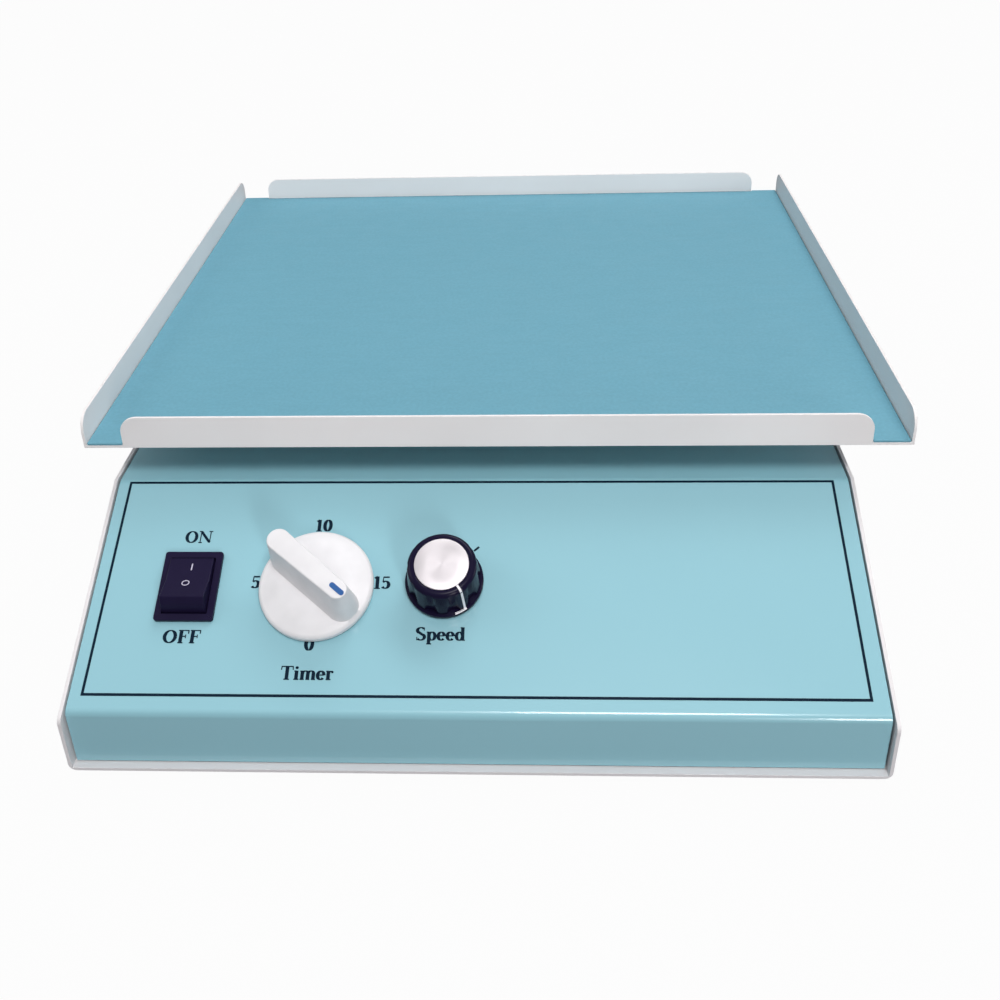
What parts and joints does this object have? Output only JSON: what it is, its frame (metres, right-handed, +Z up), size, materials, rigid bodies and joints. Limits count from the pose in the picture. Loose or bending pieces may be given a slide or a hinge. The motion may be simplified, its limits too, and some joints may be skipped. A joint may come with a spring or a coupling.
{
  "type": "platform rotator",
  "caption": "Bench platform rotator with a flanged tray on an orbiting carriage, a sloping control panel, timer, speed knob and rocker switch.",
  "frame": {"origin": "on the table under the middle of the whole machine at rest, which is the middle of the tray across", "axes": "+X to the operator's right, +Y to the back, +Z up"},
  "size_m": [0.37, 0.417, 0.116],
  "materials": {
    "case_paint": "off-white powder coat, satin",
    "cover_paint": "turquoise gloss enamel",
    "tray_paint": "off-white powder coat, satin",
    "mat_rubber": "turquoise rubber sheet, fine texture",
    "black_rubber": "moulded, matt",
    "zinc_steel": "zinc plated",
    "bearing_steel": "ground",
    "cast_aluminium": "turned",
    "spun_aluminium": "spun face, bright",
    "switch_plastic": "black nylon",
    "knob_white": "white moulding",
    "pointer_blue": "blue inlay",
    "knob_black": "black phenolic, polished",
    "motor_black": "black enamel",
    "belt_rubber": "woven back rubber",
    "tinned_brass": "tinned",
    "movement_plastic": "moulded case",
    "circuit_board": "glass epoxy laminate",
    "transformer_iron": "laminated, varnished",
    "capacitor_sleeve": "shrink sleeve",
    "black_aluminium": "black anodised"
  },
  "bodies": {
    "root": {"chassis_pan": "case_paint", "top_cover": "cover_paint", "cover_screws": "zinc_steel", "rubber_feet": "black_rubber", "foot_screws": "zinc_steel", "foot_nuts": "zinc_steel", "drive_deck": "zinc_steel", "deck_pillars": "zinc_steel", "deck_screws": "zinc_steel", "pillar_screws": "zinc_steel", "main_bearing_housing": "cast_aluminium", "main_bearings": "bearing_steel", "idler_housings": "cast_aluminium", "idler_lower_bearings": "bearing_steel", "idler_upper_bearings": "bearing_steel", "motor_can": "motor_black", "motor_screws": "zinc_steel", "drive_belt": "belt_rubber", "switch_bezel": "switch_plastic", "switch_terminals": "tinned_brass", "timer_body": "movement_plastic", "timer_screws": "zinc_steel", "timer_terminals": "tinned_brass", "pot_body": "zinc_steel", "pot_nut": "zinc_steel", "control_board": "circuit_board", "board_standoffs": "zinc_steel", "transformer": "transformer_iron", "board_heatsink": "black_aluminium", "capacitor": "capacitor_sleeve", "inlet_body": "switch_plastic", "inlet_pins": "tinned_brass", "inlet_screws": "zinc_steel", "earth_stud": "zinc_steel"},
    "crank": {"main_crank": "bearing_steel", "drive_pulley": "cast_aluminium", "counterweight": "zinc_steel", "main_pin_clip": "bearing_steel"},
    "idler_1": {"idler_crank_1": "bearing_steel"},
    "idler_2": {"idler_crank_2": "bearing_steel"},
    "idler_3": {"idler_crank_3": "bearing_steel"},
    "idler_4": {"idler_crank_4": "bearing_steel"},
    "motor_rotor": {"motor_shaft": "bearing_steel", "motor_pulley": "cast_aluminium"},
    "tray": {"tray_carriage": "cast_aluminium", "pin_bearings": "bearing_steel", "main_pin_bearing": "bearing_steel", "tray": "tray_paint", "tray_mat": "mat_rubber", "tray_screws": "zinc_steel"},
    "timer_dial": {"timer_knob": "knob_white", "timer_shaft": "bearing_steel", "timer_pointer": "pointer_blue"},
    "speed_dial": {"speed_knob": "knob_black", "speed_cap": "spun_aluminium", "pot_shaft": "bearing_steel"},
    "rocker": {"rocker_paddle": "switch_plastic"}
  },
  "joints": [
    {"name": "crank_spin", "type": "hinge", "parent": "root", "child": "crank", "pos_m": [-0.0066, 0.04268, 0.08396], "axis": [0, 0, 1], "continuous": true},
    {"name": "tray_orbit", "type": "hinge", "parent": "crank", "child": "tray", "pos_m": [0, 0.04952, 0.09057], "axis": [0, 0, 1], "continuous": true},
    {"name": "motor_spin", "type": "hinge", "parent": "root", "child": "motor_rotor", "pos_m": [-0.0926, 0.04268, 0.0615], "axis": [0, 0, 1], "continuous": true},
    {"name": "idler_1_spin", "type": "hinge", "parent": "root", "child": "idler_1", "pos_m": [-0.1166, -0.04732, 0.08396], "axis": [0, 0, 1], "continuous": true},
    {"name": "idler_2_spin", "type": "hinge", "parent": "root", "child": "idler_2", "pos_m": [0.1034, -0.04732, 0.08396], "axis": [0, 0, 1], "continuous": true},
    {"name": "idler_3_spin", "type": "hinge", "parent": "root", "child": "idler_3", "pos_m": [-0.1166, 0.13268, 0.08396], "axis": [0, 0, 1], "continuous": true},
    {"name": "idler_4_spin", "type": "hinge", "parent": "root", "child": "idler_4", "pos_m": [0.1034, 0.13268, 0.08396], "axis": [0, 0, 1], "continuous": true},
    {"name": "timer_turn", "type": "hinge", "parent": "root", "child": "timer_dial", "pos_m": [-0.0745, -0.15597, 0.05905], "axis": [0, -0.4462, 0.8949], "range_deg": [-320.5, 0]},
    {"name": "speed_turn", "type": "hinge", "parent": "root", "child": "speed_dial", "pos_m": [-0.0197, -0.15374, 0.06017], "axis": [0, -0.4462, 0.8949], "range_deg": [0, 300]},
    {"name": "rocker_tip", "type": "hinge", "parent": "root", "child": "rocker", "pos_m": [-0.1299, -0.15602, 0.05869], "axis": [1, 0, 0], "range_deg": [0, 30]}
  ],
  "couplings": [
    {"joint": "tray_orbit", "follows": "crank_spin", "ratio": -1},
    {"joint": "motor_spin", "follows": "crank_spin", "ratio": 4},
    {"joint": "idler_1_spin", "follows": "crank_spin", "ratio": 1},
    {"joint": "idler_2_spin", "follows": "crank_spin", "ratio": 1},
    {"joint": "idler_3_spin", "follows": "crank_spin", "ratio": 1},
    {"joint": "idler_4_spin", "follows": "crank_spin", "ratio": 1}
  ]
}
